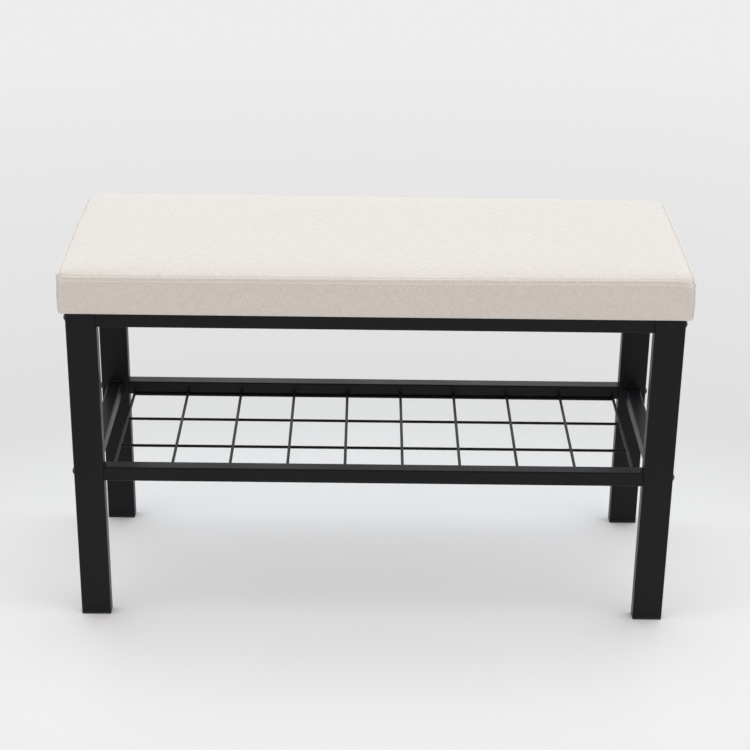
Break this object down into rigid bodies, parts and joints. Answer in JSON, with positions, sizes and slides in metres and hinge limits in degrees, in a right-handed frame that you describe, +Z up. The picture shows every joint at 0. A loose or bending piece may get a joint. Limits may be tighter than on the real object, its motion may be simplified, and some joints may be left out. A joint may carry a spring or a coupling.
{
  "type": "entryway bench",
  "caption": "Upholstered entryway bench: a fixed fabric seat on a bolted steel tube frame with an open wire shoe shelf below.",
  "frame": {"origin": "on the floor, under the middle of the bench", "axes": "+X along the bench, to the right as seen from the front; +Y from front to back; +Z up"},
  "size_m": [0.82, 0.32, 0.508],
  "materials": {
    "frame_tube": "black fine satin powder coat",
    "shelf_wire": "black satin powder coat",
    "foot_plastic": "matt moulded polyethylene",
    "bolt_black": "black oxide, slightly glossy",
    "plain_steel": "zinc plated",
    "seat_board": "raw plywood",
    "seat_foam": "open cell polyurethane foam",
    "seat_fabric": "off-white linen-look plain weave",
    "dust_cover": "black spun-bonded non-woven"
  },
  "bodies": {
    "root": {"front_left_leg": "frame_tube", "front_right_leg": "frame_tube", "rear_left_leg": "frame_tube", "rear_right_leg": "frame_tube", "front_left_foot_cap": "foot_plastic", "front_right_foot_cap": "foot_plastic", "rear_left_foot_cap": "foot_plastic", "rear_right_foot_cap": "foot_plastic", "left_upper_side_bar": "frame_tube", "right_upper_side_bar": "frame_tube", "left_lower_side_bar": "frame_tube", "right_lower_side_bar": "frame_tube", "front_top_rail": "frame_tube", "rear_top_rail": "frame_tube", "front_shelf_rail": "frame_tube", "rear_shelf_rail": "frame_tube", "front_long_wire": "shelf_wire", "rear_long_wire": "shelf_wire", "front_rim_wire": "shelf_wire", "rear_rim_wire": "shelf_wire", "cross_wire_1": "shelf_wire", "cross_wire_2": "shelf_wire", "cross_wire_3": "shelf_wire", "cross_wire_4": "shelf_wire", "cross_wire_5": "shelf_wire", "cross_wire_6": "shelf_wire", "cross_wire_7": "shelf_wire", "cross_wire_8": "shelf_wire", "cross_wire_9": "shelf_wire", "cross_wire_10": "shelf_wire", "side_frame_welds": "frame_tube", "top_rail_nut_plates": "plain_steel", "shelf_rail_nut_plates": "plain_steel", "top_rail_bolts": "bolt_black", "shelf_rail_bolts": "bolt_black", "seat_screws": "bolt_black", "seat_tee_nuts": "plain_steel", "seat_board": "seat_board", "seat_foam": "seat_foam", "seat_cover": "seat_fabric", "dust_cover": "dust_cover", "underside_staples": "plain_steel"}
  },
  "joints": []
}
